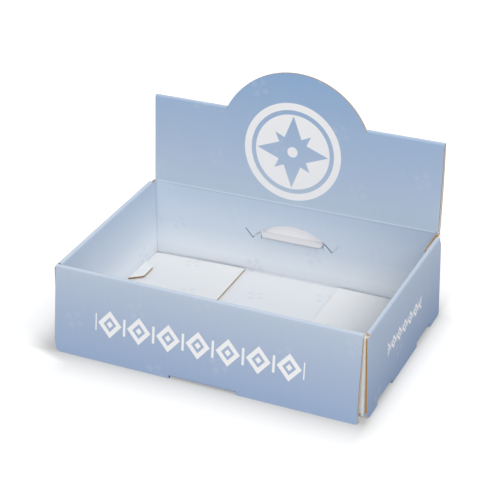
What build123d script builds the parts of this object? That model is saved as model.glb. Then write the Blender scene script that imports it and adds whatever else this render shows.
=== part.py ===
"""Shelf display tray folded from one corrugated blank: double front and side walls that roll over
at the top and lock through slots at the foot, a four-flap bottom, and a lid folded back into a
header with a round-topped card, held by a tongue in a slit of the back wall. Sizes in millimetres,
+Z up, front towards -Y, origin on the ground under the middle of the tray, where the front flap of
the bottom runs a little past it."""

import os
from math import asin, atan2, cos, hypot, radians, sin, sqrt, tan

from build123d import *

# Board and folds
board = 1.8
fold_gap = 1.0
bend_inside = 0.5
layer_gap = 0.2
cut_gap = 0.5

# Tray
outer_width = 300.0
tray_depth = 200.0
wall_height = 83.0
corner_cut_drop = 1.0
corner_foot = 1.0
corner_flat = 0.5
glue_tab_width = 33.0
glue_tab_foot = 7.0

# Bottom flaps
bottom_seam = 1.0
seam_past_middle = 3.0
side_flap_length = 97.2
bottom_slot = 3.0

# Folded-over outer panels
front_splay = 7.5
side_splay = 1.2
front_panel_inset = 2.8
side_panel_front_inset = 2.0
side_panel_rear_inset = 6.0
panel_bottom_round = 4.5
panel_top_round = 2.0
rear_chamfer_along = 3.0
rear_chamfer_down = 7.0

# Locking tabs at the foot
front_tab_width = 65.0
front_tab_tip_width = 45.0
side_tab_width = 39.0
side_tab_tip_width = 20.0
side_tab_spacing = 106.0
tab_reach = 12.0
tab_tip_round = 3.0
tab_float = 0.1
slot_headroom = 0.4

# Header and the lid layer behind it
header_width = 290.6
header_height = 88.0
header_lean = 3.35
arch_radius = 77.5
arch_centre_height = 54.2
rear_layer_kick = 1.5
rear_layer_clearance = 0.3
lid_edge_height = 60.5

# Tongue and the slit that holds it
slit_arch_top = 59.5
slit_foot_height = 40.3
slit_half_width = 41.0
slit_return_across = 7.6
slit_return_up = 8.8
slit_width = 0.5
catch_clearance = 0.4
tongue_width = 63.0
tongue_bend_height = 48.6
tongue_angle = 36.0
tongue_length = 7.2
tongue_round = 4.5
lid_reach = 30.0

# Centrelines of the board
half_board = board / 2
roll_radius = fold_gap / 2 + half_board
bend_radius = bend_inside + half_board
side_x = outer_width / 2 - half_board - 2 * roll_radius
front_y = -tray_depth / 2 + half_board + 2 * roll_radius
back_y = tray_depth / 2 - half_board
glue_tab_x = side_x - board
roll_start = wall_height - half_board - roll_radius
outer_flap_z = half_board
inner_flap_z = outer_flap_z + board + layer_gap
outer_bend_top = outer_flap_z + bend_radius
inner_bend_top = inner_flap_z + bend_radius
corner_top = wall_height - corner_cut_drop

# Straight stretches between the corner bends
corner_reach = bend_radius + corner_flat
wall_x_end = side_x - corner_reach
wall_front_end = front_y + corner_reach
wall_rear_end = back_y - corner_reach
glue_bend_end = glue_tab_x - corner_reach
side_panel_front = -tray_depth / 2 + side_panel_front_inset
side_panel_rear = tray_depth / 2 - side_panel_rear_inset
side_roll_front = front_y + half_board + cut_gap
side_roll_rear = side_panel_rear - rear_chamfer_along
outer_flap_half = side_x - bottom_slot
back_flap_right = glue_tab_x - bottom_slot
side_panel_middle = (side_panel_front + side_panel_rear) / 2
side_tab_places = [side_panel_middle - side_tab_spacing / 2, side_panel_middle + side_tab_spacing / 2]

# Heights of the locking tabs, each just above the fold of the wall that it passes through
front_tab_z = outer_bend_top + tab_float + half_board
side_tab_z = inner_bend_top + tab_float + half_board


def strip_along_x(line, start, end):
    """Board that follows a line drawn in the YZ plane, running from x = start to x = end."""
    with BuildSketch(Plane.YZ.offset(start)) as section:
        trace(line, line_width=board)
    extrude(section.sketch, amount=end - start)


def strip_along_y(line, start, end):
    """Board that follows a line drawn in the XZ plane, running from y = start to y = end."""
    with BuildSketch(Plane.XZ.offset(-end)) as section:
        trace(line, line_width=board)
    extrude(section.sketch, amount=end - start)


def crease_bead(y, z, width):
    """Rounded knuckle where two flat stretches meet at a crease that runs along X."""
    with Locations((0, y, z)):
        Cylinder(half_board, width, rotation=(0, 90, 0))


def hanging_plane(origin, outward, splay):
    """Plane of a panel that hangs from its top fold: local Y points down the panel."""
    down = outward * sin(radians(splay)) + Vector(0, 0, -cos(radians(splay)))
    normal = outward * cos(radians(splay)) + Vector(0, 0, sin(radians(splay)))
    return Plane(origin=origin, x_dir=down.cross(normal), z_dir=normal)


def roll_end(splay):
    """Where a roll ends, as its distance out from the inner wall and its height."""
    return Vector(roll_radius * (1 + cos(radians(splay))), roll_start + roll_radius * sin(radians(splay)))


def panel_length(top_z, splay):
    """Length down the slope from the end of the roll to the ground."""
    return (top_z - half_board * sin(radians(splay))) / cos(radians(splay))


def fold_start(tab_z, splay):
    """Height at which a panel starts to fold in, so that its tab ends up level at tab_z."""
    return tab_z + bend_radius * (1 + sin(radians(splay)))


def locking_tab(wall_face, root, width, tip_width):
    """Tab from its fold at -root, through the wall face at 0, tapering to its tip inside."""
    with BuildSketch(wall_face) as outline:
        with BuildLine():
            Polyline(
                (-root, -width / 2),
                (0, -width / 2),
                (tab_reach, -tip_width / 2),
                (tab_reach, tip_width / 2),
                (0, width / 2),
                (-root, width / 2),
                close=True,
            )
        make_face()
        fillet(vertices().group_by(Axis.X)[-1], tab_tip_round)
    extrude(outline.sketch, amount=half_board, both=True)


def between_corners(front_end, rear_end):
    """Cuts the straight walls out of the tube's plan and leaves its four corners."""
    with Locations((0, front_y)):
        Rectangle(2 * wall_x_end, 2 * corner_reach, mode=Mode.SUBTRACT)
    with Locations((-wall_x_end, back_y)):
        Rectangle(
            wall_x_end + glue_bend_end, 2 * corner_reach, align=(Align.MIN, Align.CENTER), mode=Mode.SUBTRACT
        )
    with Locations((0, front_end)):
        Rectangle(
            outer_width, rear_end - front_end, align=(Align.CENTER, Align.MIN), mode=Mode.SUBTRACT
        )


# The four inner walls in plan: the glue tab inside the right wall, then round to that wall's free end
with BuildLine() as glue_tab_line:
    Line((glue_tab_x, tray_depth / 2 - glue_tab_width), (glue_tab_x, back_y - bend_radius))
with BuildLine() as tube_line:
    rear_right = JernArc((glue_tab_x, back_y - bend_radius), (0, 1), bend_radius, 90)
    back_run = Line(rear_right @ 1, (-side_x + bend_radius, back_y))
    rear_left = JernArc(back_run @ 1, (-1, 0), bend_radius, 90)
    left_run = Line(rear_left @ 1, (-side_x, front_y + bend_radius))
    front_left = JernArc(left_run @ 1, (0, -1), bend_radius, 90)
    front_run = Line(front_left @ 1, (side_x - bend_radius, front_y))
    front_right = JernArc(front_run @ 1, (1, 0), bend_radius, 90)
    Line(front_right @ 1, (side_x, tray_depth / 2))

# Side wall in section: inner flap and foot bend, then the roll over the top
with BuildLine() as side_foot_line:
    flap_run = Line((side_x - side_flap_length, inner_flap_z), (side_x - bend_radius, inner_flap_z))
    JernArc(flap_run @ 1, (1, 0), bend_radius, 90)
with BuildLine() as side_roll_line:
    JernArc((side_x, roll_start), (0, 1), roll_radius, -(180 - side_splay))

# Front wall in section
with BuildLine() as front_foot_line:
    front_flap = Line((seam_past_middle, outer_flap_z), (front_y + bend_radius, outer_flap_z))
    JernArc(front_flap @ 1, (-1, 0), bend_radius, -90)
with BuildLine() as front_roll_line:
    JernArc((front_y, roll_start), (0, 1), roll_radius, 180 - front_splay)

# Back wall in section
with BuildLine() as back_foot_line:
    back_flap = Line((seam_past_middle + bottom_seam, outer_flap_z), (back_y - bend_radius, outer_flap_z))
    JernArc(back_flap @ 1, (1, 0), bend_radius, 90)

# Header geometry: it leans back from the crease, then the lid rolls over behind it
lean = radians(header_lean)
header_up = Vector(0, sin(lean), cos(lean))
header_plane = Plane(origin=(0, back_y, wall_height), x_dir=(1, 0, 0), z_dir=(0, -cos(lean), sin(lean)))
header_half = header_width / 2
header_roll_start = header_height - half_board - roll_radius
neck_half = sqrt(arch_radius**2 - (header_height - arch_centre_height) ** 2)
roll_from = Vector(0, back_y, wall_height) + header_up * header_roll_start
lid_edge_y = tray_depth / 2 + rear_layer_clearance + half_board
with BuildLine() as lid_roll_line:
    lid_roll_sweep = 180 - header_lean - rear_layer_kick
    lid_roll = JernArc((roll_from.Y, roll_from.Z), (sin(lean), cos(lean)), roll_radius, -lid_roll_sweep)
with BuildLine() as rear_layer_line:
    TangentArc(lid_roll @ 1, (lid_edge_y, lid_edge_height), tangent=lid_roll % 1)

# Tongue at the lid's edge: straight down behind the wall, then forward through the slit
with BuildLine() as tongue_root_line:
    Line((lid_edge_y, lid_edge_height), (lid_edge_y, tongue_bend_height))
tongue_tilt = radians(tongue_angle)
tongue_plane = Plane(
    origin=(0, lid_edge_y, tongue_bend_height),
    x_dir=(1, 0, 0),
    z_dir=(0, -cos(tongue_tilt), sin(tongue_tilt)),
)

# Slit in the back wall: a round-topped cut with a short return at each foot
slit_rise = slit_arch_top - slit_foot_height
slit_radius = (slit_half_width**2 + slit_rise**2) / (2 * slit_rise)
slit_centre_height = slit_arch_top - slit_radius
back_wall_plane = Plane.XZ.offset(-back_y)
catch_half = tongue_width / 2 + cut_gap
bend_behind = lid_edge_y - back_y
bend_above = tongue_bend_height - slit_foot_height
catch_tilt = atan2(bend_behind, bend_above) + asin((board + catch_clearance) / hypot(bend_behind, bend_above))
catch_plane = Plane(
    origin=(0, back_y, slit_foot_height),
    x_dir=(1, 0, 0),
    z_dir=(0, -cos(catch_tilt), sin(catch_tilt)),
)

# Outer panels, each on a plane through the end of its roll
side_panel_top = roll_end(side_splay)
side_panel_plane = hanging_plane((side_panel_top.X + side_x, 0, side_panel_top.Y), Vector(1, 0, 0), side_splay)
side_panel_length = panel_length(side_panel_top.Y, side_splay)
side_fold_start = fold_start(side_tab_z, side_splay)
side_fold_x = side_x + side_panel_top.X + (side_panel_top.Y - side_fold_start) * tan(radians(side_splay))
side_fold_depth = (side_panel_top.Y - side_fold_start) / cos(radians(side_splay))
front_panel_top = roll_end(front_splay)
front_panel_plane = hanging_plane((0, front_y - front_panel_top.X, front_panel_top.Y), Vector(0, -1, 0), front_splay)
front_panel_length = panel_length(front_panel_top.Y, front_splay)
front_fold_start = fold_start(front_tab_z, front_splay)
front_fold_y = front_y - front_panel_top.X - (front_panel_top.Y - front_fold_start) * tan(radians(front_splay))
front_fold_depth = (front_panel_top.Y - front_fold_start) / cos(radians(front_splay))
front_panel_half = outer_width / 2 - front_panel_inset

# Folds of the locking tabs, from the splayed panel round to the flat tab
with BuildLine() as side_fold_line:
    side_down = (sin(radians(side_splay)), -cos(radians(side_splay)))
    side_fold = JernArc((side_fold_x, side_fold_start), side_down, bend_radius, -(90 + side_splay))
with BuildLine() as front_fold_line:
    front_down = (-sin(radians(front_splay)), -cos(radians(front_splay)))
    front_fold = JernArc((front_fold_y, front_fold_start), front_down, bend_radius, 90 + front_splay)

# One folded-over side, on the right: inner flap, roll, outer panel and its two locking tabs
with BuildPart() as folded_side:
    strip_along_y(side_foot_line.line, front_y + bottom_slot, back_y - bottom_slot)
    strip_along_y(side_roll_line.line, side_roll_front, side_roll_rear)
    with BuildSketch(side_panel_plane.offset(-half_board)) as side_outline:
        with BuildLine():
            Polyline(
                (-side_roll_rear, 0),
                (-side_panel_rear, rear_chamfer_down),
                (-side_panel_rear, side_panel_length),
                (-side_panel_front, side_panel_length),
                (-side_panel_front, 0),
                close=True,
            )
        make_face()
        fillet(vertices().group_by(Axis.Y)[-1], panel_bottom_round)
        fillet(vertices().group_by(Axis.Y)[0].sort_by(Axis.X)[-1], panel_top_round)
        notch_height = side_panel_length - side_fold_depth
        with Locations(*[(-place, side_panel_length) for place in side_tab_places]):
            Rectangle(side_tab_width, notch_height, align=(Align.CENTER, Align.MAX), mode=Mode.SUBTRACT)
    extrude(side_outline.sketch, amount=board)
    for place in side_tab_places:
        strip_along_y(side_fold_line.line, place - side_tab_width / 2, place + side_tab_width / 2)
        tab_root = (side_fold @ 1).X - (side_x - half_board)
        tab_plane = Plane(origin=(side_x - half_board, place, side_tab_z), x_dir=(-1, 0, 0), z_dir=(0, 0, 1))
        locking_tab(tab_plane, tab_root, side_tab_width, side_tab_tip_width)

# The lid folded back: shoulder rolls, the rear layer with its round-topped window, and the tongue
with BuildPart() as lid_layer:
    strip_along_x(rear_layer_line.line, -header_half, header_half)
    with BuildSketch(header_plane) as window:
        with Locations((0, 2 * header_height - arch_centre_height)):
            Circle(arch_radius + cut_gap)
    extrude(window.sketch, amount=-lid_reach, mode=Mode.SUBTRACT)
    strip_along_x(lid_roll_line.line, -header_half, -neck_half - cut_gap)
    strip_along_x(lid_roll_line.line, neck_half + cut_gap, header_half)
    crease_bead(lid_edge_y, lid_edge_height, tongue_width)
    strip_along_x(tongue_root_line.line, -tongue_width / 2, tongue_width / 2)
    crease_bead(lid_edge_y, tongue_bend_height, tongue_width)
    with BuildSketch(tongue_plane) as tongue_outline:
        Rectangle(tongue_width, tongue_length, align=(Align.CENTER, Align.MAX))
        fillet(vertices().group_by(Axis.Y)[0], tongue_round)
    extrude(tongue_outline.sketch, amount=half_board, both=True)

# The whole blank, folded up
with BuildPart() as display_box:
    # Tube of inner walls, glued along the tab inside the right wall
    with BuildSketch(Plane.XY.offset(inner_bend_top)) as tube_section:
        trace(tube_line.line, line_width=board)
    extrude(tube_section.sketch, amount=roll_start - inner_bend_top)
    with BuildSketch(Plane.XY.offset(glue_tab_foot)) as glue_tab_section:
        trace(glue_tab_line.line, line_width=board)
    extrude(glue_tab_section.sketch, amount=corner_top - glue_tab_foot)
    with BuildSketch(Plane.XY.offset(corner_foot)) as glued_corner:
        with Locations((glue_tab_x, wall_rear_end)):
            Rectangle(board, corner_flat, align=(Align.CENTER, Align.MIN))
    extrude(glued_corner.sketch, amount=glue_tab_foot - corner_foot)

    # Corners reach lower than the flap folds, and the rear ones stand up behind the side rolls
    with BuildSketch(Plane.XY.offset(corner_foot)) as corner_feet:
        trace(tube_line.line, line_width=board)
        between_corners(wall_front_end, wall_rear_end)
    extrude(corner_feet.sketch, amount=inner_bend_top - corner_foot)
    with BuildSketch(Plane.XY.offset(roll_start)) as rear_rims:
        trace(tube_line.line, line_width=board)
        between_corners(-tray_depth / 2, side_roll_rear + cut_gap)
    extrude(rear_rims.sketch, amount=corner_top - roll_start)

    # Front and back walls run down to their lower flap folds, and the back wall up to the crease
    with BuildSketch(Plane.XY.offset(outer_bend_top)) as lower_walls:
        with Locations((0, front_y)):
            Rectangle(2 * outer_flap_half, board)
        with Locations((-outer_flap_half, back_y)):
            Rectangle(outer_flap_half + back_flap_right, board, align=(Align.MIN, Align.CENTER))
    extrude(lower_walls.sketch, amount=inner_bend_top - outer_bend_top)
    with BuildSketch(Plane.XY.offset(roll_start)) as back_top:
        with Locations((-wall_x_end, back_y)):
            Rectangle(wall_x_end + glue_bend_end, board, align=(Align.MIN, Align.CENTER))
    extrude(back_top.sketch, amount=wall_height - roll_start)
    strip_along_x(front_foot_line.line, -outer_flap_half, outer_flap_half)
    strip_along_x(back_foot_line.line, -outer_flap_half, back_flap_right)

    # Slots at the wall feet for the locking tabs
    for place in side_tab_places:
        with Locations((0, place, inner_bend_top)):
            Box(
                2 * side_x + 2 * board,
                side_tab_width + 2 * cut_gap,
                board + slot_headroom,
                align=(Align.CENTER, Align.CENTER, Align.MIN),
                mode=Mode.SUBTRACT,
            )
    with Locations((0, front_y, outer_bend_top)):
        Box(
            front_tab_width + 2 * cut_gap,
            2 * board,
            board + slot_headroom,
            align=(Align.CENTER, Align.CENTER, Align.MIN),
            mode=Mode.SUBTRACT,
        )

    # Slit in the back wall, and the middle of the catch below it pushed back by the tongue
    with BuildSketch(back_wall_plane) as slit_arc:
        with Locations((0, slit_centre_height)):
            Circle(slit_radius)
            Circle(slit_radius - slit_width, mode=Mode.SUBTRACT)
        with Locations((0, slit_foot_height)):
            Rectangle(2 * slit_radius, slit_radius, align=(Align.CENTER, Align.MIN), mode=Mode.INTERSECT)
    extrude(slit_arc.sketch, amount=board, both=True, mode=Mode.SUBTRACT)
    with BuildSketch(back_wall_plane) as catch_opening:
        with Locations((0, slit_centre_height)):
            Circle(slit_radius)
        with Locations((0, slit_foot_height)):
            Rectangle(
                2 * (catch_half + cut_gap), slit_radius, align=(Align.CENTER, Align.MIN), mode=Mode.INTERSECT
            )
    extrude(catch_opening.sketch, amount=board, both=True, mode=Mode.SUBTRACT)
    with BuildSketch(back_wall_plane) as slit_returns:
        for side in (-1, 1):
            with BuildLine() as slit_return:
                Line(
                    (side * slit_half_width, slit_foot_height),
                    (side * (slit_half_width + slit_return_across), slit_foot_height + slit_return_up),
                )
            trace(slit_return.line, line_width=slit_width)
    extrude(slit_returns.sketch, amount=board, both=True, mode=Mode.SUBTRACT)
    crease_bead(back_y, slit_foot_height, 2 * catch_half)
    with BuildSketch(catch_plane) as catch_outline:
        with Locations((0, slit_centre_height - slit_foot_height)):
            Circle(slit_radius - slit_width)
        Rectangle(2 * catch_half, slit_radius, align=(Align.CENTER, Align.MIN), mode=Mode.INTERSECT)
    extrude(catch_outline.sketch, amount=half_board, both=True)

    # Front: roll, outer panel and its long locking tab
    strip_along_x(front_roll_line.line, -front_panel_half, front_panel_half)
    with BuildSketch(front_panel_plane.offset(-half_board)) as front_outline:
        Rectangle(2 * front_panel_half, front_panel_length, align=(Align.CENTER, Align.MIN))
        fillet(vertices().group_by(Axis.Y)[-1], panel_bottom_round)
        with Locations((0, front_panel_length)):
            notch_height = front_panel_length - front_fold_depth
            Rectangle(front_tab_width, notch_height, align=(Align.CENTER, Align.MAX), mode=Mode.SUBTRACT)
    extrude(front_outline.sketch, amount=board)
    strip_along_x(front_fold_line.line, -front_tab_width / 2, front_tab_width / 2)
    tab_root = front_y + half_board - (front_fold @ 1).X
    tab_plane = Plane(origin=(0, front_y + half_board, front_tab_z), x_dir=(0, 1, 0), z_dir=(0, 0, 1))
    locking_tab(tab_plane, tab_root, front_tab_width, front_tab_tip_width)

    # Header card, with its round top cut out of the lid
    crease_bead(back_y, wall_height, wall_x_end + glue_bend_end - 2 * cut_gap)
    with BuildSketch(header_plane) as header_outline:
        with BuildLine():
            Polyline(
                (-neck_half, header_height),
                (-neck_half, header_roll_start),
                (-header_half, header_roll_start),
                (-header_half, 0),
                (header_half, 0),
                (header_half, header_roll_start),
                (neck_half, header_roll_start),
                (neck_half, header_height),
            )
            ThreePointArc(
                (-neck_half, header_height),
                (0, arch_centre_height + arch_radius),
                (neck_half, header_height),
            )
        make_face()
    extrude(header_outline.sketch, amount=half_board, both=True)

    # The two folded sides and the folded lid
    add(lid_layer.part)
    add(folded_side.part)
    add(folded_side.part.mirror(Plane.YZ))

display_box.part.label = "display_box"
os.makedirs("parts", exist_ok=True)
export_step(display_box.part, "parts/display_box.step")
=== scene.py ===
"""Looks of a shelf display tray folded from one sheet of fine-flute board: pale blue print on one
side, plain white liner on the other, and cut edges that show the flutes. Metres, +Z up."""

import math

import bpy
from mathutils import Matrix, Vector
from mathutils.bvhtree import BVHTree


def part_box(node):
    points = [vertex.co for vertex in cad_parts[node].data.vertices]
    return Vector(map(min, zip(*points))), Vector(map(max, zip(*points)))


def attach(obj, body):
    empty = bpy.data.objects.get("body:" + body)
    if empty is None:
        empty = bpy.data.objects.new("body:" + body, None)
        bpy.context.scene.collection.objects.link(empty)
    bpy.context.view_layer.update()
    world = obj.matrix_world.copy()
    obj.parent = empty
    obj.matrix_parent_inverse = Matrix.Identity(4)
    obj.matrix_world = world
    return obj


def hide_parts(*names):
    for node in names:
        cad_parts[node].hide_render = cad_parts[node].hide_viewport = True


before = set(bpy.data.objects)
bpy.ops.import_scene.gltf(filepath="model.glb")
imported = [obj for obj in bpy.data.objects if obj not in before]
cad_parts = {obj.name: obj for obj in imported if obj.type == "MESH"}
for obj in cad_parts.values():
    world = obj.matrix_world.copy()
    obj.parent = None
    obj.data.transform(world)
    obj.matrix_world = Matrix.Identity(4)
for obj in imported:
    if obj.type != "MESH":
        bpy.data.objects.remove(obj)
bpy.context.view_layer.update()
MM = 0.001

# Sizes of the folded box that its print and its board follow, in millimetres
BOARD = 1.8
ROLL_GAP = 1.0
WALL_TOP = 83.0
HEADER_TOP = 171.0
HEADER_LEAN = math.radians(3.35)
TRAY_HALF_WIDTH = 150.0
TRAY_HALF_DEPTH = 100.0
FLUTE_PITCH = 3.4

# Where one panel ends and the next begins, in millimetres
BACK_MIDDLE_Y = TRAY_HALF_DEPTH - BOARD / 2
SIDE_ROLL_X = TRAY_HALF_WIDTH - BOARD - ROLL_GAP / 2
FRONT_ROLL_Y = BOARD + ROLL_GAP / 2 - TRAY_HALF_DEPTH
REAR_LAYER_Y = TRAY_HALF_DEPTH + 0.1
HEADER_FROM_Y = 90.0
HEADER_TO_REAR_LAYER = 1.7
FLOOR_TOP = 4.1
FLOOR_HALF_WIDTH = 144.5
FLOOR_FRONT_Y = -94.5
FLOOR_REAR_Y = 97.5
CORNER_X = 142.8
CORNER_Y = 94.0
FRONT_WALL_Y = -90.0
BACK_WALL_Y = 96.0

# The side flaps lie on the front and back flaps of the floor
UPPER_FLAP_Z = 3.0
UPPER_FLAP_X = 48.0
UPPER_FLAP_REACH = 0.0
LOWER_FLAP_REACH = 1.3

# The outer panels' share of the print is stored this much further out, to give it its own depth of colour;
# on the side panels this deeper colour is partly painted shade.
OUTER_PRINT = {"front_outer": 300.0, "side_outer": 400.0}

# Material slots of the board
PRINTED, LINER, FLUTES, RIM = range(4)

# How the board's mesh is prepared: millimetres, but for the turn, which is a cosine, and the share
WELD = 0.01
RAY_START = 0.02
RAY_REACH = 5 * BOARD
SHEET_TOLERANCE = 0.25
SHARPEST_TURN = -0.2
FLAT = math.radians(0.2)
STRIP = 20.0
CUT_SHARE = 0.43
LINER_THICKNESS = 0.25
GROOVE_DRAFT = 0.02
GROOVE_DEPTH = 0.3
SIDE_FOOT_X = 148.0
SIDE_FOOT_Z = 6.0


# Modelling

def only(thing):
    """Selects one object and nothing else."""
    bpy.ops.object.select_all(action="DESELECT")
    thing.select_set(True)
    bpy.context.view_layer.objects.active = thing


def edit(thing):
    only(thing)
    bpy.ops.object.mode_set(mode="EDIT")
    bpy.ops.mesh.select_mode(type="FACE")


def done():
    bpy.ops.object.mode_set(mode="OBJECT")


def pick_cut_edges(board):
    """Selects the cut edges, but for the small ones at the feet of the side panels."""
    edit(board)
    bpy.ops.mesh.select_all(action="DESELECT")
    done()
    for face in board.data.polygons:
        x, y, z = face.center / MM
        at_side_foot = z < SIDE_FOOT_Z and abs(x) > SIDE_FOOT_X
        face.select = face.material_index == FLUTES and not at_side_foot
    edit(board)


def board_copy():
    """The folded board's mesh as one welded skin."""
    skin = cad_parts["display_box"].data.copy()
    skin.name = "folded_board"
    board = bpy.data.objects.new("folded_board", skin)
    bpy.context.scene.collection.objects.link(board)
    only(board)
    bpy.ops.mesh.customdata_custom_splitnormals_clear()
    edit(board)
    bpy.ops.mesh.select_all(action="SELECT")
    bpy.ops.mesh.remove_doubles(threshold=WELD * MM)
    done()
    return board


def is_sheet_face(tree, face):
    """True where the board's other side lies one or two thicknesses behind this face."""
    start = face.center - face.normal * RAY_START * MM
    distance = tree.ray_cast(start, -face.normal, RAY_REACH * MM)[3]
    if distance is None:
        return False
    depth = distance / MM
    return min(abs(depth - BOARD), abs(depth - 2 * BOARD)) < SHEET_TOLERANCE


def sort_faces(board):
    """Gives each face its slot. Print spreads from the front panel over the folds. The sheet's other
    faces are liner, and what is left is cut edge."""
    mesh = board.data
    corners = [vertex.co for vertex in mesh.vertices]
    tree = BVHTree.FromPolygons(corners, [tuple(face.vertices) for face in mesh.polygons])
    sheet = [is_sheet_face(tree, face) for face in mesh.polygons]
    touching = {}
    for face in mesh.polygons:
        for key in face.edge_keys:
            touching.setdefault(key, []).append(face.index)
    sheet_faces = [face for face in mesh.polygons if sheet[face.index]]
    first = min(sheet_faces, key=lambda face: face.center.y)
    printed = {first.index}
    waiting = [first.index]
    while waiting:
        here = mesh.polygons[waiting.pop()]
        for key in here.edge_keys:
            for other in touching[key]:
                turns_on = mesh.polygons[other].normal.dot(here.normal) > SHARPEST_TURN
                if other not in printed and sheet[other] and turns_on:
                    printed.add(other)
                    waiting.append(other)
    for face in mesh.polygons:
        if face.index in printed:
            face.material_index = PRINTED
        else:
            face.material_index = LINER if sheet[face.index] else FLUTES


def open_the_cut_edges(board):
    """Sets the flutes back a little between the two liners, all along the cut edges."""
    pick_cut_edges(board)
    bpy.ops.mesh.dissolve_limited(angle_limit=FLAT, delimit={"MATERIAL"})
    steps = ((RIM, LINER_THICKNESS, 0.0), (FLUTES, GROOVE_DRAFT, -GROOVE_DEPTH))
    for slot, thickness, depth in steps:
        board.active_material_index = slot
        bpy.ops.object.material_slot_assign()
        bpy.ops.mesh.inset(
            thickness=thickness * MM, depth=depth * MM, use_boundary=True, use_even_offset=False
        )
    done()


def cut_into_strips(board):
    """Crosses the big panels with cuts, so that the board can be bent a little."""
    edit(board)
    bpy.ops.mesh.select_all(action="SELECT")
    bpy.ops.mesh.dissolve_limited(angle_limit=FLAT, delimit={"MATERIAL"})
    low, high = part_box("display_box")
    for axis in range(3):
        normal = [0.0, 0.0, 0.0]
        normal[axis] = 1.0
        cuts = int((high[axis] - low[axis]) / (STRIP * MM))
        for step in range(1, cuts + 1):
            place = [0.0, 0.0, 0.0]
            place[axis] = low[axis] + (high[axis] - low[axis]) * (step - CUT_SHARE) / cuts
            bpy.ops.mesh.select_all(action="SELECT")
            bpy.ops.mesh.bisect(plane_co=place, plane_no=normal)
    done()


def header_y(z):
    """The middle of the header's board at a height."""
    return BACK_MIDDLE_Y + (z - WALL_TOP) * math.tan(HEADER_LEAN)


def panel_of(x, y, z):
    """The panel that a point in millimetres belongs to."""
    if z > WALL_TOP and y > HEADER_FROM_Y:
        return "header" if y < header_y(z) + HEADER_TO_REAR_LAYER else "rear"
    if y > REAR_LAYER_Y:
        return "rear"
    if abs(x) > SIDE_ROLL_X:
        return "side_outer"
    if y < FRONT_ROLL_Y:
        return "front_outer"
    if z < FLOOR_TOP and abs(x) < FLOOR_HALF_WIDTH and FLOOR_FRONT_Y < y < FLOOR_REAR_Y:
        return "floor"
    if abs(x) > CORNER_X and abs(x) - CORNER_X > abs(y) - CORNER_Y:
        return "side_inner"
    if y < FRONT_WALL_Y:
        return "front_inner"
    return "back" if y > BACK_WALL_Y else "tab"


def spread(panel, x, y, z):
    """Where a point lies on the flat blank, and how far out it is from the floor's edge, in millimetres."""
    out = 1 if x > 0 else -1
    over_the_roll = 2 * WALL_TOP - z
    if panel == "header":
        reach = WALL_TOP + (z - WALL_TOP) / math.cos(HEADER_LEAN)
        return x, TRAY_HALF_DEPTH + reach, reach
    if panel == "rear":
        reach = 2 * HEADER_TOP - z
        return x, TRAY_HALF_DEPTH + reach, reach
    if panel == "side_outer":
        return out * (TRAY_HALF_WIDTH + over_the_roll), y, over_the_roll
    if panel == "side_inner":
        return out * (TRAY_HALF_WIDTH + z), y, z
    if panel == "front_outer":
        return x, -TRAY_HALF_DEPTH - over_the_roll, over_the_roll
    if panel == "front_inner":
        return x, -TRAY_HALF_DEPTH - z, z
    if panel == "back":
        return x, TRAY_HALF_DEPTH + z, z
    if panel == "tab":
        return x, y, 2 * WALL_TOP
    upper_flap = z > UPPER_FLAP_Z and abs(x) > UPPER_FLAP_X
    return x, y, UPPER_FLAP_REACH if upper_flap else LOWER_FLAP_REACH


def lay_out_print(board):
    """Gives the board two UV maps and an attribute. The first map is the flat blank in metres, the second
    runs across the cut edges from print to liner, and the reach is how far out from the floor a point is."""
    mesh = board.data
    for layer in list(mesh.uv_layers):
        mesh.uv_layers.remove(layer)
    mesh.uv_layers.new(name="blank")
    mesh.uv_layers.new(name="edge")
    mesh.attributes.new("reach", "FLOAT", "CORNER")
    blank, edge = mesh.uv_layers["blank"], mesh.uv_layers["edge"]
    reach = mesh.attributes["reach"]
    printed = set()
    for face in mesh.polygons:
        if face.material_index == PRINTED:
            printed.update(face.vertices)
    for face in mesh.polygons:
        panel = panel_of(*(face.center / MM))
        for corner in face.loop_indices:
            vertex = mesh.loops[corner].vertex_index
            u, v, out = spread(panel, *(mesh.vertices[vertex].co / MM))
            blank.data[corner].uv = (u * MM, v * MM)
            edge.data[corner].uv = (u * MM, 0.0 if vertex in printed else 1.0)
            reach.data[corner].value = (out + OUTER_PRINT.get(panel, 0.0)) * MM


# How far the hand-folded box is out of true, and between which places each twist grows, in millimetres
SIDE_SKEW = 3.2
SKEW_FULL_X = 147.0
SKEW_ENDS_Y = (84, 96)
FRONT_SHIFT = 2.0
FRONT_SHIFT_Y = (-99.4, -95.6)
FRONT_SHIFT_Z = (2, 8)
LEFT_HINGE_SAG = 1.6
RIGHT_HINGE_SAG = 1.2
FRONT_HINGE_SAG = 0.9
HINGE_X = (55, 140)
FRONT_HINGE_Y = -99.0
SAG_ENDS_Z = (6.5, 16)
ABOVE_ONE_BOARD = (BOARD + 0.05, BOARD + 0.15)
FLAP_EDGE_SHIFT = 1.5
FLAP_EDGE_FROM = (143.0, 94.0, 4.0)


def ease(value, low, high):
    """0 below low, 1 above high, smooth between."""
    t = min(max((value - low) / (high - low), 0.0), 1.0)
    return t * t * (3 - 2 * t)


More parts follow.
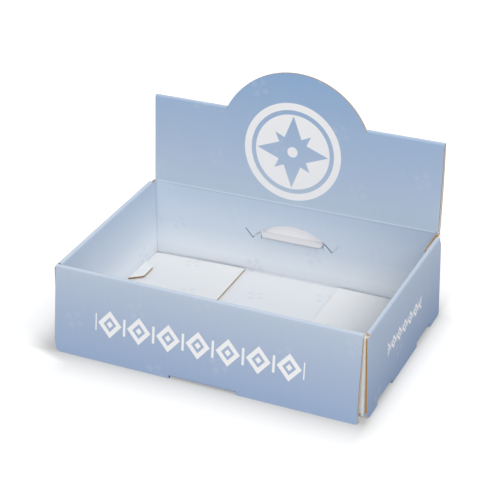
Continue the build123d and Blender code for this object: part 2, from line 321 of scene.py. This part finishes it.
def settle(board):
    """The small twists of a hand-folded box: the right side stands forward and the left one back, the
    front panel stands left, the flaps' hinges sag, and the side flaps' rear edges reach further back."""
    flap_x, flap_y, flap_z = FLAP_EDGE_FROM
    for vertex in board.data.vertices:
        x, y, z = vertex.co / MM
        above = ease(z, *ABOVE_ONE_BOARD)
        forward = SIDE_SKEW * max(-1.0, min(1.0, x / SKEW_FULL_X)) * (1 - ease(y, *SKEW_ENDS_Y))
        left = FRONT_SHIFT * (1 - ease(y, *FRONT_SHIFT_Y)) * ease(z, *FRONT_SHIFT_Z)
        hinge = (LEFT_HINGE_SAG if x < 0 else RIGHT_HINGE_SAG) * ease(abs(x), *HINGE_X)
        if y < FRONT_HINGE_Y:
            hinge = FRONT_HINGE_SAG
        sag = hinge * above * (1 - ease(z, *SAG_ENDS_Z))
        if z < flap_z and abs(x) < flap_x and y > flap_y:
            forward -= FLAP_EDGE_SHIFT * above
        vertex.co = Vector((x - left, y - forward, z - sag)) * MM


def make_board():
    board = board_copy()
    board.data.materials.clear()
    for finish in (printed_ink(), white_liner(), flute_core(), liner_rim()):
        board.data.materials.append(finish)
    sort_faces(board)
    open_the_cut_edges(board)
    cut_into_strips(board)
    lay_out_print(board)
    settle(board)
    only(board)
    bpy.ops.object.shade_smooth_by_angle(angle=math.radians(40))
    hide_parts("display_box")
    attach(board, "root")


# Shader maths

# The colour sockets of a Mix node share their names with others, so they go by number
MIX_FACTOR, MIX_FIRST, MIX_SECOND, MIX_COLOUR = 0, 6, 7, 2


def set_stops(points, stops):
    """Gives a ramp its stops, each a place from 0 to 1 and a colour."""
    while len(points) < len(stops):
        points.new(1.0)
    for point, (place, colour) in zip(points, stops):
        point.position = place
        point.color = colour


class Shader:
    """Makes the nodes of one material, or of the world."""

    def __init__(self, owner):
        owner.use_nodes = True
        self.owner = owner
        self.tree = owner.node_tree

    def feed(self, socket, value):
        if isinstance(value, Field):
            self.tree.links.new(value.socket, socket)
        else:
            socket.default_value = value

    def node(self, kind, settings=None, sockets=None):
        """A new node: its settings come first, then a value or a link for each socket."""
        made = self.tree.nodes.new(kind)
        for name, value in (settings or {}).items():
            if name == "stops":
                set_stops(made.color_ramp.elements, value)
            else:
                setattr(made, name, value)
        for name, value in (sockets or {}).items():
            self.feed(made.inputs[name], value)
        return made

    def field(self, kind, settings=None, sockets=None, output=0):
        """One output of a new node."""
        return Field(self, self.node(kind, settings, sockets).outputs[output])

    def math(self, operation, *values):
        return self.field("ShaderNodeMath", {"operation": operation}, dict(enumerate(values)))

    def mix(self, share, first, second):
        sockets = {MIX_FACTOR: share, MIX_FIRST: first, MIX_SECOND: second}
        return self.field("ShaderNodeMix", {"data_type": "RGBA"}, sockets, MIX_COLOUR)

    def ramp(self, value, stops):
        return self.field("ShaderNodeValToRGB", {"stops": stops}, {"Fac": value})

    def split(self, vector):
        made = self.node("ShaderNodeSeparateXYZ", None, {"Vector": vector})
        return [Field(self, output) for output in made.outputs]

    def uv(self, name):
        return self.split(self.field("ShaderNodeUVMap", {"uv_map": name}))[:2]

    def attribute(self, name):
        return self.field("ShaderNodeAttribute", {"attribute_name": name}, None, "Fac")

    def place(self):
        return self.field("ShaderNodeTexCoord", None, None, "Object")

    def stretched(self, x, y, z):
        """Object coordinates, scaled by x, y and z."""
        return self.field("ShaderNodeMapping", None, {"Vector": self.place(), "Scale": (x, y, z)})

    def noise(self, vector, scale, detail=2.0, roughness=0.5):
        sockets = {"Vector": vector, "Scale": scale, "Detail": detail, "Roughness": roughness}
        return self.field("ShaderNodeTexNoise", None, sockets)

    def bump(self, height, strength, distance):
        sockets = {"Height": height, "Strength": strength, "Distance": distance}
        return self.field("ShaderNodeBump", None, sockets)

    def fill(self, name, values):
        """Fills the sockets of a node that was there from the start, and gives its shader."""
        filled = self.tree.nodes[name]
        for socket, value in values.items():
            self.feed(filled.inputs[socket], value)
        return Field(self, filled.outputs[0])

    def surface(self, values):
        return self.fill("Principled BSDF", values)

    def show_camera(self, seen, others, output):
        """Shows the camera one shader and all other rays another."""
        camera_ray = self.field("ShaderNodeLightPath", None, None, "Is Camera Ray")
        blend = self.field("ShaderNodeMixShader", None, {0: camera_ray, 1: others, 2: seen})
        self.feed(self.tree.nodes[output].inputs["Surface"], blend)


class Field:
    """A socket's value, with arithmetic."""

    def __init__(self, shader, socket):
        self.shader = shader
        self.socket = socket

    def __add__(self, other):
        return self.shader.math("ADD", self, other)

    def __sub__(self, other):
        return self.shader.math("SUBTRACT", self, other)

    def __mul__(self, other):
        return self.shader.math("MULTIPLY", self, other)

    def __truediv__(self, other):
        return self.shader.math("DIVIDE", self, other)

    __radd__ = __add__
    __rmul__ = __mul__

    def __rsub__(self, other):
        return self.shader.math("SUBTRACT", other, self)

    def __neg__(self):
        return self * -1.0

    def __abs__(self):
        return self.shader.math("ABSOLUTE", self)

    def sine(self):
        return self.shader.math("SINE", self)

    def root(self):
        return self.shader.math("SQRT", self)

    def exponent(self):
        return self.shader.math("EXPONENT", self)

    def least(self, other):
        return self.shader.math("MINIMUM", self, other)

    def most(self, other):
        return self.shader.math("MAXIMUM", self, other)

    def cell(self, period):
        """Signed distance from the middle of a cell."""
        return self.shader.math("WRAP", self, period / 2, -period / 2)

    def below(self, limit, soft):
        """1 where this is below the limit, fading to 0 over a soft step."""
        step = (limit - self) / soft + 0.5
        return step.most(0.0).least(1.0)

    def above(self, limit, soft):
        """1 where this is above the limit, fading to 0 over a soft step."""
        return (limit - self).below(0.0, soft)

    def near(self, place, half_width, soft):
        """1 within half a width of a place, fading to 0 over a soft step."""
        return abs(self - place).below(half_width, soft)


def srgb(red, green, blue):
    """A colour given as 0 to 255, as Blender's linear colour."""
    def linear(value):
        value /= 255
        return value / 12.92 if value <= 0.04045 else ((value + 0.055) / 1.055) ** 2.4
    return (linear(red), linear(green), linear(blue), 1.0)


def length(x, y):
    return (x * x + y * y).root()


# Stands for no limit: a metre to either side is far outside the box
NO_LIMIT = (-1.0, 1.0)


def within(fields, low, high, soft=0.0005):
    """1 where every field lies between its two limits, fading to 0 over a soft step."""
    share = 1.0
    for field, start, end in zip(fields, low, high):
        share = field.above(start, soft) * field.below(end, soft) * share
    return share


# Colours
BLACK = (0.0, 0.0, 0.0, 1.0)
WHITE = (1.0, 1.0, 1.0, 1.0)
PAPER_WHITE = srgb(229, 228, 229)
MARK_GREY = srgb(186, 194, 208)
CREASE_SHADE_BLUE = srgb(120, 140, 172)
CORNER_SHADE = srgb(120, 135, 160)
FOOT_SHADE = srgb(150, 165, 190)
CORNER_HIGHLIGHT = srgb(226, 236, 244)
SLIT_SHADE_GREY = srgb(106, 118, 140)
WORN_AND_HIGHLIGHT_PALE = srgb(222, 229, 236)

# Paint by reach in millimetres: inside the tray and up the header, then on the outer panels
INK_RANGE = 600.0
INNER_INK = (
    (UPPER_FLAP_REACH, (239, 239, 238)),
    # The darker stops at 1.0 to 1.6 are painted shade on the lower flaps, which lie a board lower, under the
    # side flaps.
    (1.0, (212, 215, 220)),
    (1.6, (212, 215, 220)),
    (2.6, (236, 240, 245)),
    (9.0, (237, 241, 246)),
    (16.0, (238, 243, 248)),
    (40.0, (205, 215, 227)),
    (74.0, (180, 195, 214)),
    (WALL_TOP - 1, (177, 192, 212)),
    (WALL_TOP + 1, (171, 187, 205)),
    (126.0, (157, 176, 202)),
    (166.0, (143, 167, 197)),
    (216.0, (122, 155, 194)),
    (300.0, (122, 155, 194)),
)
FRONT_INK = (
    (WALL_TOP + 1, (168, 182, 201)),
    (125.0, (151, 168, 194)),
    (2 * WALL_TOP, (134, 157, 190)),
)
# The side panels' deeper blue is partly print and partly painted shade, darker than the front for how light
# falls on them.
SIDE_INK_AND_SHADE = (
    (WALL_TOP - 1, (160, 176, 198)),
    (125.0, (141, 159, 187)),
    (2 * WALL_TOP, (113, 136, 172)),
)


# Print, in metres on the flat blank

# The step over which a printed edge fades
CRISP = 0.0003
BACK_EDGE = TRAY_HALF_DEPTH * MM


def header_badge(u, v):
    """White disc on the header: 1 where it is white. Its centre holds a plain eight-point star in a ring."""
    aside = 0.0019
    above_wall = 0.0538
    disc_radius = 0.0487
    star_reach = 0.036
    star_slope = 2.6
    ring_radius = 0.0395
    ring_half_width = 0.0022
    hub_radius = 0.0052
    x = u + aside
    y = v - (BACK_EDGE + WALL_TOP * MM + above_wall)
    far = length(x, y)
    disc = far.below(disc_radius, CRISP)
    upright = (abs(x) * star_slope + abs(y)).least(abs(x) + abs(y) * star_slope)
    slanted = (abs(x + y) * star_slope + abs(x - y)).least(abs(x + y) + abs(x - y) * star_slope)
    star = upright.below(star_reach, CRISP).most(slanted.below(star_reach, CRISP))
    ring = far.near(ring_radius, ring_half_width, CRISP)
    hub = far.below(hub_radius, CRISP)
    return disc * (1 - star.most(ring)).most(hub)


def diamond_band(across, up, half_length, pitch, height):
    """A row of white diamonds, each with an open middle and a dot, and a short bar between them."""
    width_share = 0.9
    opening_share, dot_share = 0.55, 0.26
    bar_width_share, bar_height_share = 0.09, 0.62
    x = across.cell(pitch)
    size = abs(x) / width_share + abs(up)
    outer = size.below(height, CRISP)
    opening = size.below(height * opening_share, CRISP)
    dot = size.below(height * dot_share, CRISP)
    bar = (pitch / 2 - abs(x)).below(height * bar_width_share, CRISP)
    bar = bar * abs(up).below(height * bar_height_share, CRISP)
    return (outer * (1 - opening)).most(dot).most(bar) * abs(across).below(half_length, CRISP)


def white_print(u, v):
    """All that is printed white: the disc, the front panel's row of diamonds and the side panels' rows."""
    aside = 0.004
    front_row_z, side_row_z = 38.0, 42.0
    front_row = (TRAY_HALF_DEPTH + 2 * WALL_TOP - front_row_z) * MM
    side_row = (TRAY_HALF_WIDTH + 2 * WALL_TOP - side_row_z) * MM
    front = diamond_band(u + aside, v + front_row, half_length=0.1015, pitch=0.029, height=0.0130)
    side = diamond_band(v + aside, abs(u) - side_row, half_length=0.0455, pitch=0.015, height=0.0070)
    return header_badge(u, v).most(front).most(side)


def scattered_marks(u, v):
    """Faint groups of four small lozenges, in slanted rows."""
    turn_along, turn_across = 0.94, 0.34
    pitch_along, pitch_across = 0.066, 0.058
    lozenge_offset = 0.0045
    lozenge_size = 0.0036
    middle_size = 0.003
    middle_pinch = 1.9
    blur = 0.0020
    x = (u * turn_along + v * turn_across).cell(pitch_along)
    y = (v * turn_along - u * turn_across).cell(pitch_across)
    lozenges = abs(abs(x) - lozenge_offset) + abs(abs(y) - lozenge_offset)
    middle = abs(abs(x) - abs(y)) * middle_pinch + (abs(x) + abs(y))
    return lozenges.below(lozenge_size, blur).most(middle.below(middle_size, blur))


def on_inner_wall(reach):
    """1 on the inner walls, between their creases at the foot and at the top."""
    wall_foot, wall_end = 0.0055, 0.0825
    return reach.above(wall_foot, 0.001) * reach.below(wall_end, 0.001)


def painted_crease_shade(u, v, reach):
    """Painted shade in the creases along the wall feet, down the rear corners and under the header's fold.
    """
    foot_reach, top_reach = 0.0046, 0.0812
    corner_u = 0.1451
    foot_depth, top_depth, corner_depth, corner_deepens = 0.15, 0.25, 0.30, 4.0
    behind = v.above(BACK_EDGE, 0.001)
    foot = reach.near(foot_reach, 0.0006, 0.0010) * foot_depth
    corner = abs(u).near(corner_u, 0.0006, 0.0010) * on_inner_wall(reach) * behind
    corner = corner * (corner_depth + reach * corner_deepens)
    top = reach.near(top_reach, 0.0005, 0.0008) * behind * top_depth
    return foot.most(corner).most(top)


def painted_corner_shade_and_highlight(shader, ink, u, v, reach):
    """Painted shade and light in the corners of the tray: painted shade at the right and at the left wall's
    foot, and a painted highlight beside the left rear corner."""
    corner_u = 0.1437
    wall_fade, floor_fade, highlight_fade = 0.06, 0.02, 0.02
    wall_share, floor_share, foot_share, highlight_share = 0.30, 0.80, 0.25, 0.22
    foot_height = 0.040
    back_wall = on_inner_wall(reach) * v.above(BACK_EDGE, 0.001)
    left_wall = u.below(-TRAY_HALF_WIDTH * MM, 0.001)
    upper_flap = reach.below(0.0002, 0.0002)
    right_rear = ((u - corner_u) / wall_fade).exponent() * back_wall
    ink = shader.mix(right_rear * wall_share, ink, CORNER_SHADE)
    right_floor = ((u - corner_u) / floor_fade).exponent() * upper_flap
    ink = shader.mix(right_floor * floor_share, ink, CORNER_SHADE)
    left_foot = left_wall * ((foot_height - reach) / foot_height).most(0.0)
    ink = shader.mix(left_foot * foot_share, ink, FOOT_SHADE)
    left_rear = ((u + corner_u) / -highlight_fade).exponent() * back_wall
    return shader.mix(left_rear.least(1.0) * highlight_share, ink, CORNER_HIGHLIGHT)


def slit_shade_line(u, v):
    """The cut line of the slit in the back wall, painted dark as shade in the narrow cut: its arc beside the
    tongue, with a V at each end.
    """
    tongue_half_width = 0.0315
    arc_middle, arc_radius = 0.0061, 0.0532
    leg_x, leg_foot = 0.041, 0.0403
    leg_run, leg_rise = 0.6536, 0.7568
    leg_half_length = 0.0058
    slit_middle, slit_half_height, slit_half_width = 0.05, 0.0102, 0.049
    x = abs(u)
    up = v - BACK_EDGE
    arc = length(u, up - arc_middle).near(arc_radius, 0.0007, 0.0005)
    arc = arc * x.above(tongue_half_width, 0.0005)
    along = (x - leg_x) * leg_run + (up - leg_foot) * leg_rise
    beside = (x - leg_x) * leg_rise - (up - leg_foot) * leg_run
    leg = abs(beside).below(0.0006, 0.0005) * along.near(leg_half_length, leg_half_length, CRISP)
    line = arc.most(leg) * up.near(slit_middle, slit_half_height, 0.0002)
    return line * x.below(slit_half_width, 0.001)


def worn_and_highlit_folds(shader, u, reach):
    """Folds at the wall tops and the shoulders, where the ink is stretched and cracked and a painted
    highlight runs along the fold.
    """
    round_top_half_width = 0.0700
    inner_strength = 1.3
    fleck = shader.noise(shader.place(), scale=900.0) * 1.2
    folds = reach.near(WALL_TOP * MM, 0.0004, 0.0007) * inner_strength
    for further_out in OUTER_PRINT.values():
        folds = folds.most(reach.near((WALL_TOP + further_out) * MM, 0.0006, 0.0012))
    beside_round_top = 1 - abs(u).below(round_top_half_width, CRISP)
    shoulders = reach.near(HEADER_TOP * MM, 0.0006, 0.0012) * beside_round_top
    return (folds.most(shoulders) * fleck).least(1.0)


def flute_wave(u):
    """The flutes under the liner, from -1 to 1."""
    return (u * (2 * math.pi / (FLUTE_PITCH * MM))).sine()


def ink_stops():
    """The stops of the paint by reach, as shares of its whole range."""
    stops = list(INNER_INK)
    for panel, paint in (("front_outer", FRONT_INK), ("side_outer", SIDE_INK_AND_SHADE)):
        stops += [(place + OUTER_PRINT[panel], colour) for place, colour in paint]
    return [(place / INK_RANGE, srgb(*colour)) for place, colour in stops]


def printed_ink():
    """Pale print that deepens from the floor outwards, with faint flute lines, worn folds with painted
    highlights, and painted shade in the creases, the corners and the slit.
    """
    mark_share, slit_shade_share, worn_and_highlight_share = 0.17, 0.75, 0.55
    shader = Shader(bpy.data.materials.new("printed_ink"))
    u, v = shader.uv("blank")
    reach = shader.attribute("reach")
    ink = shader.ramp(reach / (INK_RANGE * MM), ink_stops())
    ink = shader.mix(scattered_marks(u, v) * mark_share, ink, MARK_GREY)
    ink = shader.mix(white_print(u, v), ink, PAPER_WHITE)
    # Painted shade darkens the creases.
    ink = shader.mix(painted_crease_shade(u, v, reach), ink, CREASE_SHADE_BLUE)
    # Painted shade in the tray's corners and a painted highlight beside the left rear corner.
    ink = painted_corner_shade_and_highlight(shader, ink, u, v, reach)
    # The slit's cut line is darkened with painted shade.
    ink = shader.mix(slit_shade_line(u, v) * slit_shade_share, ink, SLIT_SHADE_GREY)
    # The folds are paler from cracked ink and from a painted highlight.
    ink = shader.mix(worn_and_highlit_folds(shader, u, reach) * worn_and_highlight_share, ink, WORN_AND_HIGHLIGHT_PALE)

    # Flutes and fibres show through the print as faint lines, a little darker or paler than it
    flute = flute_wave(u)
    blotch = shader.noise(shader.stretched(1.0, 1.0, 0.35), scale=60.0, detail=3.0)
    streak = shader.noise(shader.stretched(1.0, 0.4, 0.04), scale=420.0, detail=1.0)
    grain = shader.noise(shader.place(), scale=2600.0, detail=3.0, roughness=0.6)
    shade = (streak - 0.5) * 0.10 + (blotch - 0.5) * 0.06 + flute * 0.022
    ink = shader.mix(shade + 0.5, shader.mix(0.10, ink, BLACK), shader.mix(0.10, ink, WHITE))
    relief = flute * 0.5 + streak * 1.2 + grain * 0.35
    shader.surface({
        "Base Color": ink,
        "Roughness": 0.46 + (blotch - 0.5) * 0.12,
        "IOR": 1.45,
        "Specular IOR Level": 0.35,
        "Normal": shader.bump(relief, strength=0.25, distance=0.00006),
    })
    return shader.owner


def white_liner():
    """Plain white liner with the fibres and faint flutes of uncoated board. The tongue is darker with
    painted shade, and its root a little darker too.
    """
    start = NO_LIMIT[0]
    tongue_low, tongue_high = (start, 0.08, 0.037), (0.033, 0.09995, 0.061)
    root_low, root_high = (start, 0.10005, 0.0465), (0.0325, 0.1006, 0.061)
    shader = Shader(bpy.data.materials.new("white_liner"))
    flute = flute_wave(shader.uv("blank")[0])
    fibre = shader.noise(shader.stretched(1.0, 1.0, 0.3), scale=900.0, detail=4.0, roughness=0.6)
    cloud = shader.noise(shader.place(), scale=45.0, detail=3.0)
    shade = (fibre - 0.5) * 0.16 + (cloud - 0.5) * 0.12 + flute * 0.03 + 0.5
    tone = shader.mix(shade, srgb(226, 226, 226), srgb(248, 248, 247))
    x, y, z = shader.split(shader.place())
    place = (abs(x), y, z)
    # Painted shade on the tongue, and a lighter painted shade over its bend at the root.
    tone = shader.mix(within(place, tongue_low, tongue_high, 0.0001), tone, srgb(207, 206, 209))
    tone = shader.mix(within(place, root_low, root_high, 0.0001), tone, srgb(229, 227, 229))
    shader.surface({
        "Base Color": tone,
        "Roughness": 0.78 + (fibre - 0.5) * 0.15,
        "Normal": shader.bump(flute * 0.5 + fibre * 0.8, strength=0.3, distance=0.00007),
    })
    return shader.owner


def edge_shade_and_tint_by_place(shader, tone):
    """Cut edges recoloured by place, each limit a place in metres: painted shade in the slit, paler towards
    the tongue, painted shade at the feet and at the left front corner, deeper orange down the side panels'
    front edges, blue-grey at the right rear corner and paler at the roll ends."""
    start, end = NO_LIMIT
    foot_top, side_top, front_end = 0.0056, 0.0785, -0.09
    x, y, z = shader.split(shader.place())
    across = abs(x)
    slit = within((across, y, z), (start, 0.0975, 0.0377), (0.052, 0.12, 0.0613))
    slit_shade_tone = shader.mix(across.below(0.0412, 0.0005), srgb(170, 180, 198), srgb(112, 122, 142))
    slit_shade_tone = shader.mix(across.below(0.0335, 0.0005), slit_shade_tone, srgb(190, 200, 214))
    side_foot = within((across, z), (0.148, start), (end, foot_top))
    rear_foot = within((across, y, z), (start, 0.094, start), (0.1435, end, foot_top))
    left_corner = within((x, y), (start, start), (-0.143, front_end))
    side_edge = within((x, y, z), (0.149, start, foot_top), (end, front_end, side_top))
    rear_corner = within((x, y, z), (0.1435, 0.0965, side_top), (0.1465, 0.104, 0.0865))
    roll_end = within((x, y, z), (0.143, start, side_top), (end, front_end, end))
    # The slit, the feet and the left corner get painted shade; the other tints are the edges' colour.
    tints = (
        (slit * 0.9, slit_shade_tone),
        (side_foot, srgb(150, 165, 190)),
        (rear_foot, srgb(150, 160, 180)),
        (left_corner * 0.85, srgb(156, 171, 194)),
        (side_edge * 0.75, srgb(190, 134, 58)),
        (rear_corner * 0.7, srgb(186, 194, 206)),
        (roll_end * 0.65, srgb(212, 206, 196)),
    )
    for share, colour in tints:
        tone = shader.mix(share, tone, colour)
    return tone


def flute_core():
    """Cut flutes between the liners: a brown wavy medium with dark hollows, partly the board's colour and
    partly painted shade.
    """
    shader = Shader(bpy.data.materials.new("flute_core"))
    u, across_board = shader.uv("edge")
    crest_height = 0.36
    medium_half_thickness = 0.13
    crest = flute_wave(u) * crest_height + 0.5
    medium = across_board.near(crest, medium_half_thickness, 0.12)
    fuzz = shader.noise(shader.place(), scale=1400.0, detail=3.0)
    # The hollows take a darker brown: partly the board's colour, partly painted shade.
    tone = shader.mix(medium, srgb(140, 100, 52), srgb(206, 164, 100))
    tone = shader.mix(fuzz * 0.35, tone, srgb(214, 182, 130))
    shader.surface({
        "Base Color": edge_shade_and_tint_by_place(shader, tone),
        "Roughness": 0.9,
        "Normal": shader.bump(medium + fuzz * 0.5, strength=0.5, distance=0.0003),
    })
    return shader.owner


def liner_rim():
    """Raw edge of a liner."""
    shader = Shader(bpy.data.materials.new("liner_rim"))
    fuzz = shader.noise(shader.place(), scale=1600.0, detail=3.0)
    tone = shader.mix(fuzz, srgb(188, 168, 134), srgb(220, 208, 186))
    shader.surface({"Base Color": edge_shade_and_tint_by_place(shader, tone), "Roughness": 0.85})
    return shader.owner


# Stage, lights and camera

def contact_shade(x, y):
    """How dark the ground is round the box, where little light gets in: 1 is black."""
    front_y, left_x, right_x, rear_y = -0.108, -0.150, 0.150, 0.09
    front_fade, left_fade, right_fade, rear_fade = 0.030, 0.023, 0.014, 0.03
    left_depth, growth_to_the_right, most_growth, loss_beside = 0.45, 0.8, 0.08, 0.2
    left_corner_cut = 0.07
    ahead = (front_y - y).most(0.0) / front_fade
    right = (x - right_x).most(0.0) / right_fade
    left = (ahead.least(0.5) * left_corner_cut + left_x - x).most(0.0) / left_fade
    behind = (y - rear_y).most(0.0) / rear_fade
    growth = (x.most(0.0) * growth_to_the_right).least(most_growth)
    depth = left_depth + growth - right.least(0.5) * loss_beside
    return (-(length(ahead, left * left + right) + behind)).exponent() * depth


def make_floor():
    bpy.ops.object.select_all(action="DESELECT")
    bpy.ops.mesh.primitive_plane_add(size=12, location=(0, 0, 0))
    ground = bpy.context.object
    ground.name = "ground"
    shader = Shader(bpy.data.materials.new("pale_ground"))
    x, y = shader.split(shader.place())[:2]
    contact = contact_shade(x, y)
    seen = shader.surface({
        "Base Color": shader.mix(contact, (0.5, 0.5, 0.5, 1), BLACK),
        "Emission Color": shader.mix(contact, WHITE, BLACK),
        "Emission Strength": 0.61,
        "Roughness": 0.9,
        "Specular IOR Level": 0.0,
    })
    others = shader.field("ShaderNodeBsdfDiffuse", None, {"Color": (0.6, 0.6, 0.6, 1)})
    shader.show_camera(seen, others, "Material Output")
    ground.data.materials.append(shader.owner)


def make_light(name, place, aim, size, power):
    lamp = bpy.data.lights.new(name, "AREA")
    lamp.shape = "DISK"
    lamp.size = size
    lamp.energy = power
    light = bpy.data.objects.new(name, lamp)
    light.location = place
    light.rotation_euler = (Vector(aim) - Vector(place)).to_track_quat("-Z", "Y").to_euler()
    bpy.context.scene.collection.objects.link(light)


def make_lights():
    """A pale room that the camera sees as plain white, and two soft lamps."""
    world = bpy.data.worlds.new("room")
    bpy.context.scene.world = world
    shader = Shader(world)
    room = shader.fill("Background", {"Color": (0.98, 0.99, 1.0, 1), "Strength": 0.70})
    white = shader.field("ShaderNodeBackground", None, {"Color": WHITE, "Strength": 1.0})
    shader.show_camera(white, room, "World Output")
    middle = (0, 0, 0.08)
    make_light("front_low", (0.2, -3.8, 1.4), middle, size=2.0, power=60)
    make_light("right_high", (2.6, -0.5, 3.3), middle, size=2.0, power=74)
    bpy.context.scene.view_settings.view_transform = "Standard"


# The photograph's view: turn from the front, height above the horizon, distance and aim
CAMERA_TURN = math.radians(23.32)
CAMERA_RISE = math.radians(27.92)
CAMERA_DISTANCE = 1.6094
CAMERA_AIM = Vector((-0.00878, 0.01631, 0.07261))
CAMERA_LENS = 125.93


def make_camera():
    view = bpy.data.cameras.new("photo_view")
    view.lens = CAMERA_LENS
    view.sensor_width = 36
    view.clip_start = 0.1
    view.clip_end = 30
    camera = bpy.data.objects.new("photo_view", view)
    level = math.cos(CAMERA_RISE)
    back = Vector((math.sin(CAMERA_TURN) * level, -math.cos(CAMERA_TURN) * level, math.sin(CAMERA_RISE)))
    camera.location = CAMERA_AIM + back * CAMERA_DISTANCE
    camera.rotation_mode = "QUATERNION"
    camera.rotation_quaternion = (-back).to_track_quat("-Z", "Y")
    bpy.context.scene.collection.objects.link(camera)
    bpy.context.scene.camera = camera


make_camera()
make_lights()
make_floor()
make_board()
